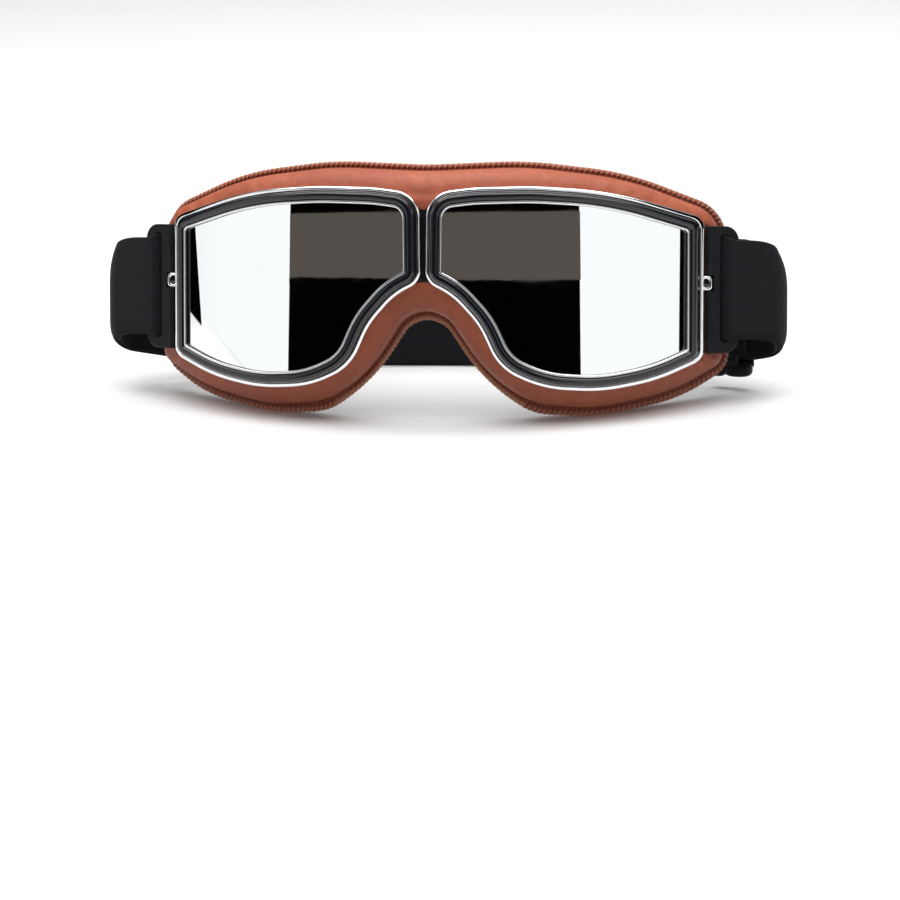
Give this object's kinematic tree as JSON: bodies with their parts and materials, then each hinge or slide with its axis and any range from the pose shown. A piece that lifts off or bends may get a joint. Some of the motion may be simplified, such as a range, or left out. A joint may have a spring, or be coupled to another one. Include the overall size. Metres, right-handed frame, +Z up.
{
  "type": "flying goggles",
  "caption": "Aviator flying goggles with framed mirror lenses in a stitched leather mask, hinged side wings and an adjustable elastic strap.",
  "frame": {"origin": "under the middle of the whole object, on the surface that it stands on", "axes": "+X across the mask, to the right as seen from the front; +Y from the front backwards, towards the wearer's head; +Z up"},
  "size_m": [0.2274, 0.0915, 0.082],
  "materials": {
    "leather": "satin",
    "lining": "matte",
    "foam": "matte",
    "frame": "satin",
    "bezel": "gloss",
    "chrome": "polished",
    "lens": "mirror",
    "seal": "matte",
    "steel": "satin",
    "wing": "satin",
    "elastic": "matte",
    "slider": "satin"
  },
  "bodies": {
    "mask": {"back_lining": "lining", "face_foam": "foam", "head_strap": "elastic", "inner_frame": "frame", "leather_cover": "leather", "left_bezel": "bezel", "left_chrome_ring": "chrome", "left_hinge_pin": "steel", "left_lens": "lens", "left_lens_seal": "seal", "left_rim_screws": "steel", "padding_foam": "foam", "right_bezel": "bezel", "right_chrome_ring": "chrome", "right_hinge_pin": "steel", "right_lens": "lens", "right_lens_seal": "seal", "right_rim_screws": "steel"},
    "left_wing": {"left_wing": "wing"},
    "right_wing": {"right_wing": "wing"},
    "slider": {"strap_slider": "slider"}
  },
  "joints": [
    {"name": "right_wing_hinge", "type": "hinge", "parent": "mask", "child": "right_wing", "pos_m": [0.0884, -0.01018, 0.04079], "axis": [0, 0.1564, 0.9877], "range_deg": [-35, 10], "deforming": ["head_strap"]},
    {"name": "left_wing_hinge", "type": "hinge", "parent": "mask", "child": "left_wing", "pos_m": [-0.0884, -0.01018, 0.04079], "axis": [0, -0.1564, -0.9877], "range_deg": [-35, 10], "deforming": ["head_strap"]},
    {"name": "strap_slider_slide", "type": "slide", "parent": "mask", "child": "slider", "axis": [-0.9308, 0.3131, -0.1889], "range_m": [-0.002, 0.022], "deforming": ["head_strap"]}
  ]
}
